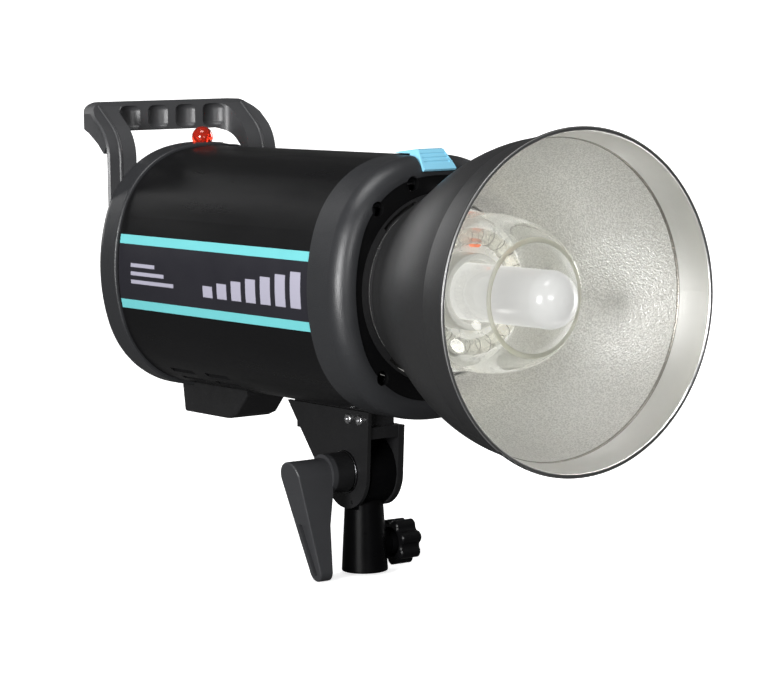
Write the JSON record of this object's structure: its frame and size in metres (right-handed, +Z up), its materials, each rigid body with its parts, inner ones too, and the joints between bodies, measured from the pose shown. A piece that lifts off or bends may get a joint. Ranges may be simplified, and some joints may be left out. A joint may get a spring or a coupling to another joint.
{
  "type": "studio flash head",
  "caption": "Monolight studio flash head with a wide metal reflector, glass dome and modelling lamp, carrying handle, rear controls and a tilting stand adapter.",
  "frame": {"origin": "centre of the stand socket's mouth, on the socket's axis", "axes": "+X along the lamp axis towards the reflector, +Z up along the socket towards the lamp, +Y to the side with the lock knob"},
  "size_m": [0.3957, 0.178, 0.2618],
  "materials": {
    "shell_black": "satin black, fine texture",
    "label_film": "printed film, satin",
    "hood_grey": "satin dark grey",
    "face_black": "satin black",
    "ring_black": "black, worn bright at the edges",
    "steel": "bright steel",
    "reflector_metal": "hammered silver inside, black outside",
    "latch_blue": "light blue, satin",
    "lamp_silver": "bright pressed sheet",
    "neon_orange": "small glowing lamp",
    "tube_glass": "clear glass tube",
    "dome_glass": "clear heat-proof glass",
    "frosted_glass": "frosted white",
    "porcelain": "white glazed",
    "nickel": "nickel plated",
    "bezel_grey": "satin dark grey",
    "slave_red": "clear red",
    "foot_black": "fine matt black",
    "panel_black": "satin black",
    "display_dark": "dark clear window",
    "button_grey": "soft grey",
    "dial_grey": "satin black",
    "switch_black": "glossy black",
    "socket_black": "black",
    "brass": "plain brass",
    "board_green": "circuit board",
    "cell_sleeve": "dark sleeve",
    "deck_alu": "plain sheet",
    "fan_black": "black",
    "bracket_black": "black powder coat",
    "casting_black": "black, cast",
    "chrome": "bright plated",
    "fibre": "friction fibre",
    "lever_grey": "satin grey",
    "adapter_black": "black satin",
    "knob_black": "satin black"
  },
  "bodies": {
    "stand_adapter": {"stand_barrel": "adapter_black"},
    "head": {"body_shell": "shell_black", "side_labels": "label_film", "front_hood": "hood_grey", "hood_screws": "steel", "front_plate": "face_black", "accessory_ring": "ring_black", "ring_screws": "steel", "lamp_housing": "lamp_silver", "lamp_pan": "lamp_silver", "trigger_lamp": "neon_orange", "flash_tube": "tube_glass", "lamp_socket": "porcelain", "glass_dome": "dome_glass", "dome_clips": "steel", "rear_bezel": "bezel_grey", "carry_handle": "bezel_grey", "slave_dome": "slave_red", "foot_block": "foot_black", "control_panel": "panel_black", "panel_screws": "steel", "display_window": "display_dark", "control_board": "board_green", "switch_case": "socket_black", "mains_inlet": "socket_black", "inlet_pins": "brass", "fuse_holder": "socket_black", "sync_jack": "nickel", "wireless_port": "nickel", "chassis_plate": "deck_alu", "flash_capacitors": "cell_sleeve", "capacitor_clamp": "socket_black", "power_board": "board_green", "fan_frame": "fan_black", "near_ear": "bracket_black", "yoke_casting": "casting_black", "mount_pad": "casting_black", "ear_screws": "steel", "pad_bolts": "steel", "pivot_bolt": "steel", "pivot_washer": "chrome", "friction_washer": "fibre"},
    "lock_screw": {"lock_knob": "knob_black", "lock_screw": "steel"},
    "lever": {"tilt_lever": "lever_grey"},
    "reflector": {"reflector_shell": "reflector_metal", "reflector_collar": "reflector_metal", "collar_rivets": "steel"},
    "bulb": {"bulb_glass": "frosted_glass", "bulb_base": "nickel"},
    "latch": {"release_latch": "latch_blue", "latch_pin": "steel"},
    "button_a": {"button_1": "button_grey"},
    "button_b": {"button_2": "button_grey"},
    "button_c": {"button_3": "button_grey"},
    "button_d": {"button_4": "button_grey"},
    "dial": {"power_dial": "dial_grey"},
    "rocker": {"power_rocker": "switch_black"},
    "fuse_plug": {"fuse_cap": "socket_black"},
    "fan": {"fan_rotor": "fan_black"}
  },
  "joints": [
    {"name": "head_tilt", "type": "hinge", "parent": "stand_adapter", "child": "head", "pos_m": [0, 0, 0.057], "axis": [0, 1, 0], "range_deg": [-50, 88]},
    {"name": "lever_turn", "type": "hinge", "parent": "head", "child": "lever", "pos_m": [0, 0, 0.057], "axis": [0, -1, 0], "range_deg": [0, 100]},
    {"name": "knob_turn", "type": "hinge", "parent": "stand_adapter", "child": "lock_screw", "pos_m": [0, 0.02, 0.014], "axis": [0, 1, 0], "continuous": true},
    {"name": "reflector_turn", "type": "hinge", "parent": "head", "child": "reflector", "pos_m": [0.0435, 0, 0.1636], "axis": [1, 0, 0], "range_deg": [0, 32]},
    {"name": "bulb_turn", "type": "hinge", "parent": "head", "child": "bulb", "pos_m": [0.0835, 0, 0.1636], "axis": [1, 0, 0], "continuous": true},
    {"name": "latch_slide", "type": "slide", "parent": "head", "child": "latch", "axis": [-1, 0, 0], "range_m": [0, 0.005], "stiffness_N_per_m": 300, "springref_m": -0.003},
    {"name": "press_a", "type": "slide", "parent": "head", "child": "button_a", "axis": [1, 0, 0], "range_m": [0, 0.0012], "stiffness_N_per_m": 400, "springref_m": -0.001},
    {"name": "press_b", "type": "slide", "parent": "head", "child": "button_b", "axis": [1, 0, 0], "range_m": [0, 0.0012], "stiffness_N_per_m": 400, "springref_m": -0.001},
    {"name": "press_c", "type": "slide", "parent": "head", "child": "button_c", "axis": [1, 0, 0], "range_m": [0, 0.0012], "stiffness_N_per_m": 400, "springref_m": -0.001},
    {"name": "press_d", "type": "slide", "parent": "head", "child": "button_d", "axis": [1, 0, 0], "range_m": [0, 0.0012], "stiffness_N_per_m": 400, "springref_m": -0.001},
    {"name": "dial_turn", "type": "hinge", "parent": "head", "child": "dial", "pos_m": [-0.1765, 0, 0.1486], "axis": [-1, 0, 0], "continuous": true},
    {"name": "rocker_tip", "type": "hinge", "parent": "head", "child": "rocker", "pos_m": [-0.167, 0.037, 0.1456], "axis": [0, -1, 0], "range_deg": [0, 14]},
    {"name": "fuse_turn", "type": "hinge", "parent": "head", "child": "fuse_plug", "pos_m": [-0.1765, -0.017, 0.1206], "axis": [-1, 0, 0], "range_deg": [0, 90]},
    {"name": "fan_spin", "type": "hinge", "parent": "head", "child": "fan", "pos_m": [-0.1415, 0, 0.1696], "axis": [1, 0, 0], "continuous": true}
  ]
}
